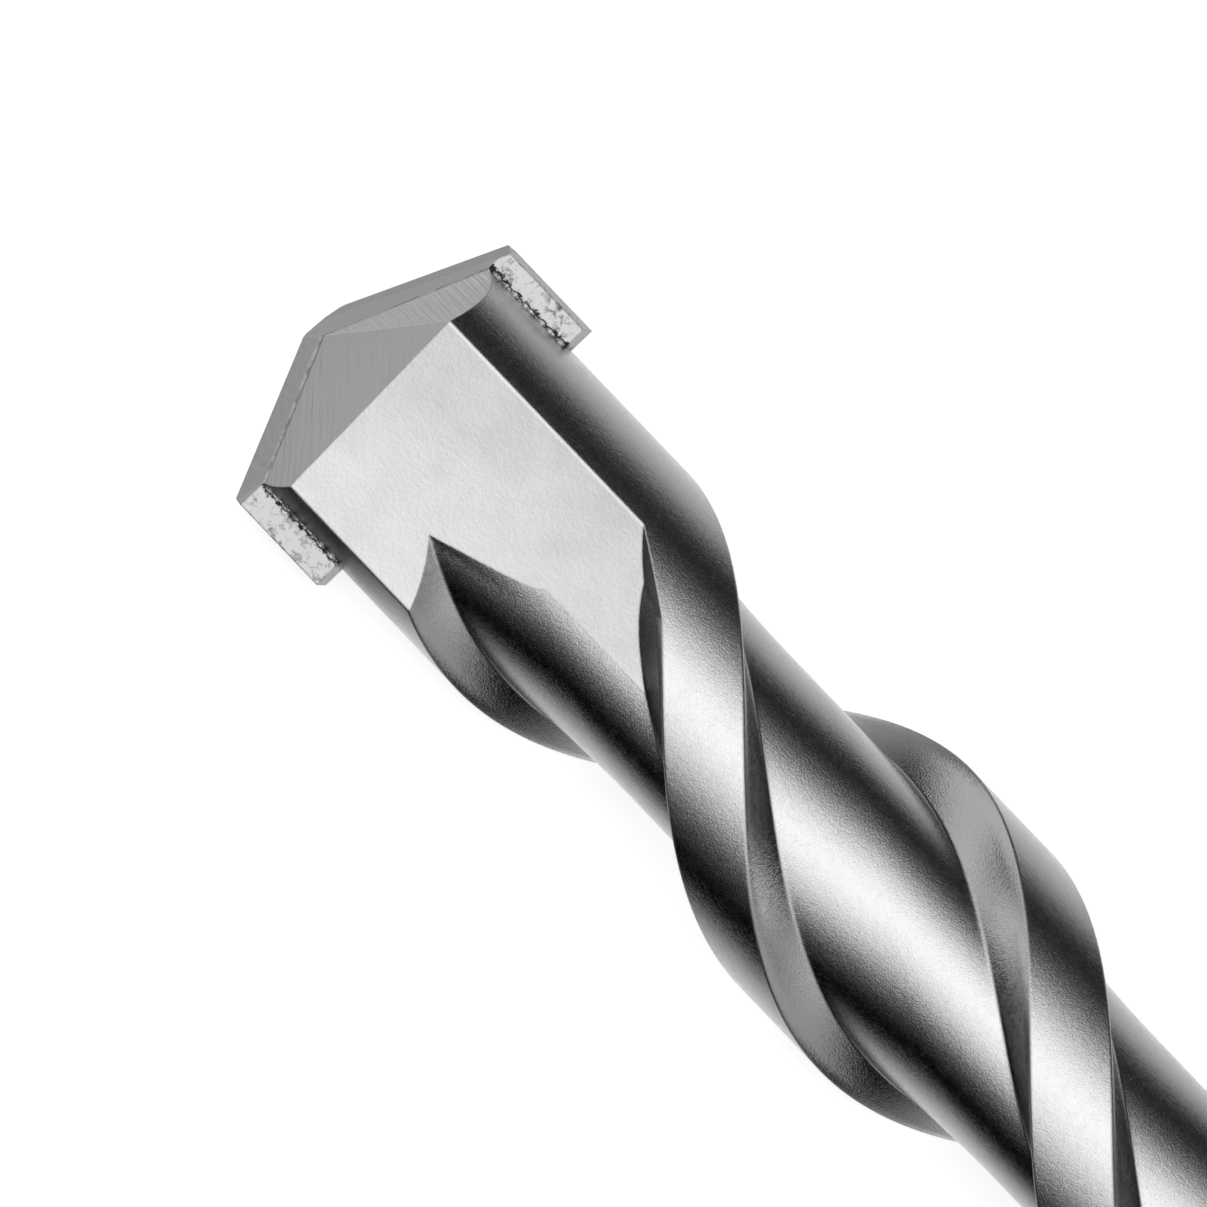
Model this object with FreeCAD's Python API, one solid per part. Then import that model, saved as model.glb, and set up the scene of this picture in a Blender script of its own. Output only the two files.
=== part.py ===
import FreeCAD, Part
import math
import os

# A hammer-drill bit for masonry, 16 mm nominal, with a 10 mm slotted shank. It is turned and milled from
# one steel bar, and a carbide plate is brazed into a slot across its head. It is drawn standing on its
# shank end, with its axis along Z, and is laid on its side at the end of the script.
# All sizes are in millimetres and all angles in degrees. A depth is measured down from the tip.

# Sizes of the whole bit. The bar stands back from the circle that the cutting corners drill.
overall_length = 160.0
cutting_diameter = 16.2
bar_relief = 1.25
core_diameter = 9.2
shank_diameter = 10.0

# The carbide plate, across the bit along X, with a short chisel edge between its two lips. Behind each lip
# it is ground twice: a shallow clearance and a steeper relief that runs down to the steel.
plate_thickness = 2.4
plate_height = 8.3
plate_end_relief = 0.25
point_angle = 132.8
clearance_slope = 0.34
relief_slope = 0.9
rake_slope = 2.39
end_facet_slope = 0.86
chisel_flat = 0.15
braze_gap = 0.1

# The steel roof of the head. The corners of its facets lie beside the plate, at the edges of the flat and
# just past the bar, at these depths.
crest_offset = 0.57
crest_depth = 0.57
shoulder_depth = 3.48
front_corner_depth = 4.54
rake_corner_depth = 4.66
side_corner_depth = 5.1
side_corner_turn = 25.9
side_corner_overhang = 0.93
facet_overreach = 0.35

# Two lands wind up the core, with a flute between them on each side
flute_lead = 45.6
land_width = 4.8
land_draft = 3.7
flute_fillet = 1.6
land_front_depth = 24.6
flute_start_depth = 6.5
flute_length_end = 60.0
tip_runout_depth = 17.3
tip_runout_radius = 50.0
shank_runout_radius = 24.0
runout_sink = 0.03
runout_overshoot = 0.7

# Two flats are milled on the head, turned a little from the plate. Beside each flat the end of a land
# starts at a depth of its own and turns more slowly than the land.
flat_step = 0.04
flat_turn = 13.4
land_end_depth = 16.7
land_end_lead = 62.8
land_end_lean = 8.0
land_end_reach = 5.0

# The shank, with two closed grooves for the locking balls and two open grooves for the drive keys
neck_start = 44.0
neck_length = 10.0
neck_radius = 6.0
shank_chamfer = 1.0
lock_ball_diameter = 7.0
lock_groove_depth = 1.5
lock_groove_start = 8.5
lock_groove_end = 28.5
drive_groove_width = 3.0
drive_groove_depth = 1.4
drive_groove_length = 27.0
drive_groove_exit_radius = 12.0

# How far a cutting shape goes past what it cuts
clear = 1.0

bar_radius = cutting_diameter / 2 - bar_relief
bar_diameter = 2 * bar_radius
core_radius = core_diameter / 2
shank_radius = shank_diameter / 2
half_plate = plate_thickness / 2
flat_distance = core_radius + flat_step
lip_slope = 1 / math.tan(math.radians(point_angle / 2))
turn_per_mm = 360.0 / flute_lead
outside = cutting_diameter

AXIS = FreeCAD.Vector(0, 0, 1)
ORIGIN = FreeCAD.Vector(0, 0, 0)


def at_depth(x, front, depth):
    """A point given by its place across the plate, in front of the plate, and below the tip."""
    return FreeCAD.Vector(x, -front, overall_length - depth)


def half_turn(shape):
    """The same shape on the other side of the bit."""
    copy = shape.copy()
    copy.rotate(ORIGIN, AXIS, 180)
    return copy


def round_the_axis(radius, degrees, height):
    """A point given by its distance from the axis, its angle about it and its height."""
    turn = math.radians(degrees)
    return FreeCAD.Vector(radius * math.cos(turn), radius * math.sin(turn), height)


def polygon_face(points):
    return Part.Face(Part.makePolygon(points + points[:1]))


# Blank: the bar with its turned neck, shank and chamfered end

def blank():
    neck_end = neck_start + neck_length
    shank_line = [FreeCAD.Vector(0, 0, 0),
                  FreeCAD.Vector(shank_radius - shank_chamfer, 0, 0),
                  FreeCAD.Vector(shank_radius, 0, shank_chamfer),
                  FreeCAD.Vector(shank_radius, 0, neck_start)]
    cone_rise = bar_radius - shank_radius
    cone_angle = math.atan2(cone_rise, neck_length)
    blend = neck_radius * math.tan(cone_angle / 2)
    along = (math.sin(cone_angle), math.cos(cone_angle))
    bend_in = FreeCAD.Vector(shank_radius, 0, neck_start - blend)
    bend_out = FreeCAD.Vector(shank_radius + blend * along[0], 0, neck_start + blend * along[1])
    half = cone_angle / 2
    bend_mid = FreeCAD.Vector(shank_radius + neck_radius * (1 - math.cos(half)), 0,
                              neck_start - blend + neck_radius * math.sin(half))
    edges = [Part.makeLine(shank_line[0], shank_line[1]),
             Part.makeLine(shank_line[1], shank_line[2]),
             Part.makeLine(shank_line[2], bend_in),
             Part.Arc(bend_in, bend_mid, bend_out).toShape(),
             Part.makeLine(bend_out, FreeCAD.Vector(bar_radius, 0, neck_end)),
             Part.makeLine(FreeCAD.Vector(bar_radius, 0, neck_end),
                           FreeCAD.Vector(bar_radius, 0, overall_length)),
             Part.makeLine(FreeCAD.Vector(bar_radius, 0, overall_length),
                           FreeCAD.Vector(0, 0, overall_length)),
             Part.makeLine(FreeCAD.Vector(0, 0, overall_length), shank_line[0])]
    return Part.Face(Part.Wire(edges)).revolve(ORIGIN, AXIS, 360)


# Flutes: the section of one flute is a core arc, a fillet on each side and the two land walls

def flute_section():
    """Half of the section, on the side of one land whose middle points along +X.

    The land's wall leans by the draft. The fillet touches the wall and the core circle, so its centre
    lies one fillet radius off the wall and one core radius plus one fillet radius off the axis.
    """
    draft = math.radians(land_draft)
    wall_top = (math.sqrt(bar_radius ** 2 - (land_width / 2) ** 2), land_width / 2)
    normal = (math.sin(draft), math.cos(draft))
    along = (math.cos(draft), -math.sin(draft))
    off_axis = normal[0] * wall_top[0] + normal[1] * wall_top[1] + flute_fillet
    reach = math.sqrt((core_radius + flute_fillet) ** 2 - off_axis ** 2)
    centre = (normal[0] * off_axis + along[0] * reach, normal[1] * off_axis + along[1] * reach)
    wall_foot = (centre[0] - normal[0] * flute_fillet, centre[1] - normal[1] * flute_fillet)
    share = core_radius / (core_radius + flute_fillet)
    floor_start = (centre[0] * share, centre[1] * share)
    lean = math.atan2(centre[1], centre[0])
    middle = (lean + math.pi + math.radians(270) - draft) / 2
    fillet_middle = (centre[0] + flute_fillet * math.cos(middle), centre[1] + flute_fillet * math.sin(middle))
    wall_outer = (wall_top[0] + along[0] * bar_radius, wall_top[1] + along[1] * bar_radius)
    return wall_outer, wall_foot, fillet_middle, floor_start


def land_turn(height):
    """The angle of the middle of the first land at a height, where -90 is the front."""
    return -90 + (height - (overall_length - land_front_depth)) * turn_per_mm


def twisted(wire, lead, bottom, top):
    """A section swept up the axis, turning to the right once in each lead."""
    spine = Part.Wire(Part.makeLine(FreeCAD.Vector(0, 0, bottom), FreeCAD.Vector(0, 0, top)))
    guide = Part.makeHelix(lead, top - bottom, bar_radius)
    guide.translate(FreeCAD.Vector(0, 0, bottom))
    sweep = Part.BRepOffsetAPI.MakePipeShell(spine)
    sweep.setAuxiliarySpine(Part.Wire(guide), True, 0)
    sweep.add(wire, False, False)
    sweep.build()
    sweep.makeSolid()
    return sweep.shape()


def flute(bottom, top):
    """The space of the first flute."""
    wall_outer, wall_foot, fillet_middle, floor_start = flute_section()

    def point(pair, mirror=1):
        return FreeCAD.Vector(mirror * pair[0], pair[1], bottom)

    floor_middle = FreeCAD.Vector(0, core_radius, bottom)
    roof_middle = FreeCAD.Vector(0, bar_radius * 2, bottom)
    wire = Part.Wire([
        Part.makeLine(point(wall_outer), point(wall_foot)),
        Part.Arc(point(wall_foot), point(fillet_middle), point(floor_start)).toShape(),
        Part.Arc(point(floor_start), floor_middle, point(floor_start, -1)).toShape(),
        Part.Arc(point(floor_start, -1), point(fillet_middle, -1), point(wall_foot, -1)).toShape(),
        Part.makeLine(point(wall_foot, -1), point(wall_outer, -1)),
        Part.Arc(point(wall_outer, -1), roof_middle, point(wall_outer)).toShape()])
    wire.rotate(ORIGIN, AXIS, land_turn(bottom) - 180)
    return twisted(wire, flute_lead, bottom, top)


def lifting_cutter(foot, rise, radius, upward):
    """What a cutter leaves standing as it lifts out of the flute: a solid of revolution whose radius
    grows along an arc from just under the core, at the foot, by the rise. It goes on past the arc."""
    start = core_radius - runout_sink
    run = math.sqrt(radius ** 2 - (radius - rise) ** 2)
    half = math.asin(run / radius) / 2
    low = FreeCAD.Vector(start, 0, foot)
    mid = FreeCAD.Vector(start + radius * (1 - math.cos(half)), 0, foot + upward * radius * math.sin(half))
    high = FreeCAD.Vector(start + rise, 0, foot + upward * run)
    past = FreeCAD.Vector(start + rise, 0, high.z + upward * bar_diameter)
    edges = [Part.makeLine(FreeCAD.Vector(0, 0, foot), low),
             Part.Arc(low, mid, high).toShape(),
             Part.makeLine(high, past),
             Part.makeLine(past, FreeCAD.Vector(0, 0, past.z)),
             Part.makeLine(FreeCAD.Vector(0, 0, past.z), FreeCAD.Vector(0, 0, foot))]
    return Part.Face(Part.Wire(edges)).revolve(ORIGIN, AXIS, 360)


def shank_runout_run():
    """How far the shank-side run-out reaches along the bit, up to the bar's own radius."""
    rise = bar_radius - core_radius
    return math.sqrt(shank_runout_radius ** 2 - (shank_runout_radius - rise) ** 2)


# Flats: each faces out along an angle about the axis, and ends where it meets a land

flat_facing = -90 - flat_turn


def flat_side_box(left, right, inner, outer, bottom, top):
    """A box set square to the first flat: left and right along it, inner and outer off the axis."""
    box = Part.makeBox(outer - inner, right - left, top - bottom, FreeCAD.Vector(inner, left, bottom))
    box.rotate(ORIGIN, AXIS, flat_facing)
    return box


def flat_edge_turn():
    """Half the angle that the flat takes out of the bar."""
    return math.degrees(math.acos(flat_distance / bar_radius))


def flat_end_height():
    """The height where the edge of the flat would meet the tip-side edge of the first land."""
    land_half = math.degrees(math.asin(land_width / 2 / bar_radius))
    land_middle = flat_facing + flat_edge_turn() + land_half
    return overall_length - land_front_depth + (land_middle + 90) / turn_per_mm


def flute_limit_height():
    """The height where the fillet of the first land reaches the middle line of the flat."""
    floor_start = flute_section()[3]
    fillet_half = math.degrees(math.atan2(floor_start[1], floor_start[0]))
    return overall_length - land_front_depth + (flat_facing + fillet_half + 90) / turn_per_mm


def land_end():
    """The end of the first land beside the flat, which the cutters leave standing. Its wall starts at the
    edge of the flat and leans from there towards the axis."""
    edge = flat_facing + flat_edge_turn()
    start = overall_length - land_end_depth
    bottom = start - land_end_reach
    turn = edge - (start - bottom) * 360 / land_end_lead
    rim = round_the_axis(bar_radius, turn, bottom)
    inward = round_the_axis(core_radius, turn + land_end_lean + 180, 0)
    aside = round_the_axis(bar_radius, turn + land_end_lean + 90, 0)
    corners = [rim + inward, rim - inward, rim - inward + aside, rim + inward + aside]
    return twisted(Part.makePolygon(corners + corners[:1]), land_end_lead, bottom, start + clear)


def head_flat():
    box = flat_side_box(-outside, outside, flat_distance, outside, flat_end_height(), overall_length + clear)
    return box.cut(land_end())


def flute_cuts():
    """One flute as cut, in short lengths that each cross the bar cleanly. It runs out at both ends, and
    beside the flat it is no deeper than the flat."""
    limit = flute_limit_height()
    top = overall_length - flute_start_depth
    foot = flute_length_end + shank_runout_run()
    count = math.ceil((limit - foot) / (flute_lead / 4))
    marks = [foot + (limit - foot) * step / count for step in range(count + 1)]
    lengths = [flute(low, high) for low, high in zip(marks[:-1], marks[1:])]
    rise = bar_radius - core_radius + runout_overshoot
    first = flute(flute_length_end - clear, foot).cut(lifting_cutter(foot, rise, shank_runout_radius, -1))
    beside_flat = flat_side_box(0, outside, -outside, flat_distance, limit - clear, overall_length)
    tip_foot = overall_length - tip_runout_depth
    last = flute(limit, top).cut(beside_flat).cut(lifting_cutter(tip_foot, rise, tip_runout_radius, 1))
    return [first] + lengths + [last.cut(land_end())]


# Roof of the head: on each side of the plate a rake facet and a clearance facet, both slightly twisted

def roof_facet(crest, shoulder, front_corner, outer_corner):
    """The space above a facet ruled from the line crest to shoulder, beside the plate, to the line
    front corner to outer corner, near the rim. It reaches past the bar on the outside."""
    corners = []
    for inner, outer in ((crest, front_corner), (shoulder, outer_corner)):
        step = (outer - inner) * facet_overreach
        corners.append((inner - step, outer + step))
    (crest_in, front_out), (shoulder_in, outer_out) = corners
    shoulder_in = shoulder_in + (shoulder_in - crest_in) * facet_overreach
    outer_out = outer_out + (outer_out - front_out) * facet_overreach
    ceiling = overall_length + 2 * clear

    def upright(low_a, low_b):
        high_a = FreeCAD.Vector(low_a.x, low_a.y, ceiling)
        high_b = FreeCAD.Vector(low_b.x, low_b.y, ceiling)
        return Part.makePolygon([low_a, low_b, high_b, high_a, low_a])

    return Part.makeLoft([upright(crest_in, shoulder_in), upright(front_out, outer_out)], True, True)


def shoulder_x():
    """How far out the rim of the bar meets the side of the plate."""
    return math.sqrt(bar_radius ** 2 - half_plate ** 2)


def roof_cuts():
    crest = at_depth(-crest_offset, half_plate, crest_depth)
    front = round_the_axis(bar_radius, flat_facing + flat_edge_turn(), overall_length - front_corner_depth)
    rake_corner = round_the_axis(bar_radius, flat_facing - flat_edge_turn(), overall_length - rake_corner_depth)
    side_corner = round_the_axis(bar_radius + side_corner_overhang, -side_corner_turn,
                                 overall_length - side_corner_depth)
    rake = roof_facet(crest, at_depth(-shoulder_x(), half_plate, shoulder_depth), front, rake_corner)
    clearance = roof_facet(crest, at_depth(shoulder_x(), half_plate, shoulder_depth), front, side_corner)
    return [rake, clearance, half_turn(rake), half_turn(clearance)]


# Carbide plate: six ground planes and four small end facets make its roof, and its ends are relieved
# behind the cutting corners

def plate():
    half_width = cutting_diameter / 2
    bottom = overall_length - plate_height
    corners = [FreeCAD.Vector(half_width, half_plate, bottom),
               FreeCAD.Vector(-half_width + plate_end_relief, half_plate, bottom),
               FreeCAD.Vector(-half_width, -half_plate, bottom),
               FreeCAD.Vector(half_width - plate_end_relief, -half_plate, bottom)]
    solid = polygon_face(corners).extrude(FreeCAD.Vector(0, 0, plate_height))
    for ground in (lip_face(lip_slope, clearance_slope, -chisel_flat), seam_face(-1, rake_slope),
                   seam_face(1, relief_slope)):
        solid = solid.cut(ground).cut(half_turn(ground))
    return solid


def seam_face(side, forward):
    """The space above a ground face that meets the steel along its seam with the roof, from the crest to
    the shoulder on that side, and whose depth grows by forward to the front. Past the shoulder a small
    facet runs level along the front of the plate."""
    across = (shoulder_depth - crest_depth) / (shoulder_x() + side * crest_offset)
    offset = crest_depth + across * side * crest_offset
    along_seam = lip_face(side * across, forward, offset - forward * half_plate)
    return along_seam.common(lip_face(0, end_facet_slope, shoulder_depth - end_facet_slope * half_plate))


def lip_face(across, forward, offset):
    """The space above a ground plane whose depth grows by across along X and by forward to the front."""
    def on_plane(x, front):
        return at_depth(x, front, across * x + forward * front + offset)

    reach = cutting_diameter
    low = [on_plane(-reach, -reach), on_plane(reach, -reach), on_plane(reach, reach), on_plane(-reach, reach)]
    return polygon_face(low).extrude(FreeCAD.Vector(0, 0, 4 * reach))


def slot(gap):
    """The space of the plate with a gap round it, open at the ends and the top."""
    floor = overall_length - plate_height - gap
    return Part.makeBox(2 * outside, plate_thickness + 2 * gap, overall_length - floor + clear,
                        FreeCAD.Vector(-outside, -half_plate - gap, floor))


# Shank grooves

def lock_groove():
    """A closed groove with round ends, as wide as the locking ball sinks in."""
    radius = lock_ball_diameter / 2
    off_axis = shank_radius - lock_groove_depth + radius
    start = lock_groove_start + radius
    end = lock_groove_end - radius
    rod = Part.makeCylinder(radius, end - start, FreeCAD.Vector(0, -off_axis, start), AXIS)
    ends = [Part.makeSphere(radius, FreeCAD.Vector(0, -off_axis, height)) for height in (start, end)]
    return rod.fuse(ends)


def drive_groove():
    """An open groove for a drive key, whose floor rises out of the shank along an arc."""
    floor = shank_radius - drive_groove_depth
    half = drive_groove_width / 2
    drop = drive_groove_exit_radius - drive_groove_depth - clear
    exit_run = math.sqrt(drive_groove_exit_radius ** 2 - drop ** 2)
    turn = drive_groove_length - exit_run
    half_angle = math.asin(exit_run / drive_groove_exit_radius) / 2
    start = FreeCAD.Vector(floor, -half, -clear)
    bend = FreeCAD.Vector(floor, -half, turn)
    bend_mid = FreeCAD.Vector(floor + drive_groove_exit_radius * (1 - math.cos(half_angle)), -half,
                              turn + drive_groove_exit_radius * math.sin(half_angle))
    top = FreeCAD.Vector(shank_radius + clear, -half, drive_groove_length)
    out = FreeCAD.Vector(shank_radius + clear, -half, -clear)
    edges = [Part.makeLine(start, bend), Part.Arc(bend, bend_mid, top).toShape(),
             Part.makeLine(top, out), Part.makeLine(out, start)]
    return Part.Face(Part.Wire(edges)).extrude(FreeCAD.Vector(0, drive_groove_width, 0))


# Assembly of the three pieces

def steel_body():
    body = blank()
    cuts = flute_cuts() + [head_flat(), lock_groove(), drive_groove()]
    for cut in cuts:
        body = body.cut(cut).cut(half_turn(cut))
    for cut in roof_cuts():
        body = body.cut(cut)
    body = body.cut(slot(braze_gap))
    whole_faces = Part.ShapeUpgrade.UnifySameDomain(body)
    whole_faces.build()
    return whole_faces.shape()


def braze_joint():
    """The braze between the plate and the slot, ground off with the steel and flush with the bar."""
    film = slot(braze_gap).common(Part.makeCylinder(bar_radius, 2 * outside,
                                                    FreeCAD.Vector(0, 0, overall_length - 2 * outside), AXIS))
    for cut in roof_cuts():
        film = film.cut(cut)
    return film.cut(slot(0))


def way_down():
    """The angle about the axis that points down when the trailing corner of the plate's -X end and the
    lands both touch the ground."""
    corner_x = cutting_diameter / 2 - plate_end_relief
    corner_radius = math.hypot(corner_x, half_plate)
    corner_angle = 180 - math.degrees(math.atan2(half_plate, corner_x))
    return corner_angle - math.degrees(math.acos(bar_radius / corner_radius))


def lay_down(shape):
    """Turn the bit onto its side, tip towards +X, with the origin under its middle on the ground."""
    shape.rotate(ORIGIN, AXIS, -way_down())
    shape.rotate(ORIGIN, FreeCAD.Vector(0, 1, 0), 90)
    shape.translate(FreeCAD.Vector(-overall_length / 2, 0, bar_radius))
    return shape


os.makedirs("parts", exist_ok=True)
for name, shape in (("steel_body", steel_body()), ("carbide_tip", plate()), ("braze_joint", braze_joint())):
    lay_down(shape).exportStep("parts/" + name + ".step")
    box = shape.BoundBox
    print(name, "solids", len(shape.Solids), "valid", shape.isValid(), "volume %.1f" % shape.Volume,
          "box %.2f %.2f %.2f to %.2f %.2f %.2f" % (box.XMin, box.YMin, box.ZMin, box.XMax, box.YMax, box.ZMax))
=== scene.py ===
import math

import bmesh
import bpy
import numpy as np
from mathutils import Matrix, Vector


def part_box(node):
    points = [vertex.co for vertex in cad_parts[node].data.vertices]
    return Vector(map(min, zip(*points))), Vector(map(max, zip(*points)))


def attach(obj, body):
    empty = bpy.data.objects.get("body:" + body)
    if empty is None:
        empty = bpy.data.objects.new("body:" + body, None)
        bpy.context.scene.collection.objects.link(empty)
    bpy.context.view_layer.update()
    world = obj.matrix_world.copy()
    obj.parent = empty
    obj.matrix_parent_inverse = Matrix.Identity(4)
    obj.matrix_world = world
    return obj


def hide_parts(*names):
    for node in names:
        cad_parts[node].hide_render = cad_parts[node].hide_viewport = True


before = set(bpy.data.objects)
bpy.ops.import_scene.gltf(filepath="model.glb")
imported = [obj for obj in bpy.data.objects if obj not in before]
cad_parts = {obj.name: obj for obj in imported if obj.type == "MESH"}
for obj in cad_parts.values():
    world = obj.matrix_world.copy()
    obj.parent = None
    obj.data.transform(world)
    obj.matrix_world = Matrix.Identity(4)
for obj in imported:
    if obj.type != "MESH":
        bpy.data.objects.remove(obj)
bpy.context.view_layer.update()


# Blank. The real one is a bar of tool steel, turned down to a neck and a chucking shank, then hardened and
# blasted to a fine satin. It is worked out here standing on its shank end, in millimetres, with its axis
# along Z and the photographed side towards -Y, and it is laid down at the very end.

MM = 0.001
body_low, body_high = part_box("steel_body")
tip_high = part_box("carbide_tip")[1]
overall_length = (tip_high.x - body_low.x) / MM
bar_radius = (body_high.z - body_low.z) / 2 / MM
shank_radius = 5.0
shank_chamfer = 1.0
neck_start = 44.0
neck_length = 10.0
neck_radius = 6.0
neck_rings = 9
bar_rings = 60
clear = 1.0     # how far a cutter reaches past what it cuts

BAR, FLUTE, FLAT, EDGE, RAKE, SIDE, SLOT, GROOVE = range(8)


def tube(name, rings, finish):
    """A closed surface through rings of points: each ring is joined to the next by a band of quads, and the
    first and the last ring are closed by a face each. Every face gets the same finish."""
    rings = np.asarray(rings, float)
    count, around, _ = rings.shape
    index = np.arange(count * around).reshape(count, around)
    beside = np.roll(index, -1, axis=1)
    quads = np.stack([index[:-1], beside[:-1], beside[1:], index[1:]], axis=-1).reshape(-1, 4)
    mesh = bpy.data.meshes.new(name)
    mesh.from_pydata(rings.reshape(-1, 3), [],
                     quads.tolist() + [index[0, ::-1].tolist(), index[-1].tolist()])
    mesh.polygons.foreach_set("material_index", np.full(len(mesh.polygons), finish))
    work = bmesh.new()
    work.from_mesh(mesh)
    bmesh.ops.recalc_face_normals(work, faces=work.faces)
    work.to_mesh(mesh)
    work.free()
    piece = bpy.data.objects.new(name, mesh)
    bpy.context.scene.collection.objects.link(piece)
    return piece


def turned(name, radii, heights, finish, around=240, centre=(0.0, 0.0)):
    """A turned solid: each ring is a circle of that radius at that height, about a line along Z."""
    turn = np.linspace(0, 2 * np.pi, around, endpoint=False)
    circle = np.stack([np.cos(turn), np.sin(turn)], axis=-1)
    rings = np.empty((len(radii), around, 3))
    rings[..., :2] = circle * np.asarray(radii)[:, None, None] + centre
    rings[..., 2] = np.asarray(heights)[:, None]
    return tube(name, rings, finish)


def neck_profile():
    """Radii and heights from the shank's end to the bar's top. The cone blends into the shank by an arc
    that is tangent to both, so it starts half the cone's angle before the corner."""
    rise = bar_radius - shank_radius
    cone = math.atan2(rise, neck_length)
    blend = neck_radius * math.tan(cone / 2)
    bend = np.linspace(0, cone, neck_rings)
    radii = shank_radius + neck_radius * (1 - np.cos(bend))
    heights = neck_start - blend + neck_radius * np.sin(bend)
    start = [shank_radius - shank_chamfer, shank_radius]
    rest = np.linspace(neck_start + neck_length, overall_length + clear, bar_rings)
    radii = np.concatenate([start, radii, np.full(bar_rings, bar_radius)])
    heights = np.concatenate([[0, shank_chamfer], heights, rest])
    return radii, heights


steel_body = turned("steel_body_skin", *neck_profile(), BAR, around=360)
cutters = []


def half_turned(piece):
    """A copy of a cutter on the other side of the bit."""
    copy = piece.copy()
    copy.data = piece.data.copy()
    copy.data.transform(Matrix.Rotation(math.pi, 4, "Z"))
    bpy.context.scene.collection.objects.link(copy)
    return copy


def carve(piece, tools, operation="DIFFERENCE"):
    """The piece less each tool, or only what it shares with them, by one Boolean modifier for each. The
    tools are removed."""
    for tool in tools:
        cut = piece.modifiers.new("cut", "BOOLEAN")
        cut.operation = operation
        cut.solver = "MANIFOLD"
        cut.material_mode = "INDEX"
        cut.object = tool
    bpy.context.view_layer.update()
    result = piece.evaluated_get(bpy.context.evaluated_depsgraph_get())
    carved = bpy.data.meshes.new_from_object(result)
    piece.modifiers.clear()
    piece.data = carved
    for tool in tools:
        bpy.data.objects.remove(tool)
    return piece


# Flats. Two flats are milled on the head for the dust to rise past, turned a little from the plate. Beside
# each one the end of a land is left standing, and its wall starts at the flat's own edge. Both long edges
# of a flat are stoned.

core_radius = 4.6
flat_distance = 4.602       # a hair outside the core
flat_facing = -90 - 13.4
flat_edge_turn = math.degrees(math.acos(flat_distance / bar_radius))
flute_lead = 45.6
land_width = 4.8
land_front_depth = 24.6
land_end_depth = 16.7
land_end_lead = 62.8
land_end_lean = 8.0
land_end_reach = 5.0
land_end_rings = 100
land_end_columns = 40
stoned_depth = 0.022
right_edge_turn = 17.0
left_edge_turn = -24.0
left_edge_depth = 12.7
outside = 2 * bar_radius


def polar(radius, degrees):
    """Points about the axis, from their distance and their angle."""
    turn = np.radians(degrees)
    return np.stack([radius * np.cos(turn), radius * np.sin(turn)], axis=-1)


def twisted(name, outline, turns, heights, finish):
    """An outline carried up the axis and turned by the angle given for each height."""
    turn = np.radians(turns)[:, None]
    x, y = outline[:, 0][None], outline[:, 1][None]
    rings = np.stack([x * np.cos(turn) - y * np.sin(turn), x * np.sin(turn) + y * np.cos(turn),
                      np.broadcast_to(heights[:, None], (len(heights), len(outline)))], axis=-1)
    return tube(name, rings, finish)


def block(name, left, right, inner, outer, bottom, top, facing, finish):
    """A box with its sides square to a direction about the axis: inner and outer lie along it."""
    outline = np.array([(inner, left), (outer, left), (outer, right), (inner, right)])
    return twisted(name, outline, np.array([facing, facing]), np.array([bottom, top]), finish)


def land_end():
    """What the cutters leave of the first land beside the flat: a band whose wall passes through the rim
    at the flat's edge, leans towards the axis and turns more slowly than the land."""
    start = overall_length - land_end_depth
    heights = np.linspace(start - land_end_reach, start + clear, land_end_rings)
    edge = flat_facing + flat_edge_turn
    rim = polar(bar_radius, edge)
    inward = polar(core_radius, edge + land_end_lean + 180)
    aside = polar(bar_radius, edge + land_end_lean + 90)
    wall = rim + inward * np.linspace(1, -1, land_end_columns)[:, None]
    outline = np.concatenate([wall, [rim - inward + aside, rim + inward + aside]])
    return twisted("land_end", outline, (heights - start) * 360 / land_end_lead, heights, FLUTE)


turn_per_mm = 360 / flute_lead
land_half_turn = math.degrees(math.asin(land_width / 2 / bar_radius))
flat_end = (overall_length - land_front_depth
            + (flat_facing + flat_edge_turn + land_half_turn + 90) / turn_per_mm)
flat = block("flat", -outside, outside, flat_distance, outside, flat_end, overall_length + 2 * clear,
             flat_facing, FLAT)
carve(flat, [land_end()])
cutters += [flat, half_turned(flat)]


def stoned_edge(name, off_flat, edge_turn, bottom_depth):
    """A narrow chamfer along an edge of the flat: it faces off_flat degrees from the flat, and cuts the
    edge, at edge_turn, by a few hundredths."""
    facing = flat_facing + off_flat
    inner = bar_radius * math.cos(math.radians(edge_turn - off_flat)) - stoned_depth
    return block(name, -outside, outside, inner, outside, overall_length - bottom_depth,
                 overall_length + 2 * clear, facing, EDGE)


for stoned in (stoned_edge("right_edge", right_edge_turn, flat_edge_turn, land_end_depth),
               stoned_edge("left_edge", left_edge_turn, -flat_edge_turn, left_edge_depth)):
    cutters += [stoned, half_turned(stoned)]


# Flutes. Two lands wind up the core, with a milled flute between them on each side. The cutter lifts out
# at both ends, and the lands' edges are broken by a stone. A flute's floor is a little flatter on its
# trailing side.

land_draft = math.radians(3.7)
leading_fillet = 0.3
leading_floor_radius = core_radius
trailing_fillet = 0.25
trailing_floor_radius = 5.6
edge_break = 0.07
wall_points = 5
fillet_points = 13
floor_points = 22
flute_start_depth = 6.5
flute_length_end = 60.0
tip_runout_depth = 17.3
tip_runout_radius = 50.0
shank_runout_radius = 24.0
runout_sink = 0.03
runout_overshoot = 0.7
runout_rings = 40
flat_step = 0.001       # keeps the flute's cutter off the plane of the flat's own cutter
step_turn = 3.0


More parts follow.
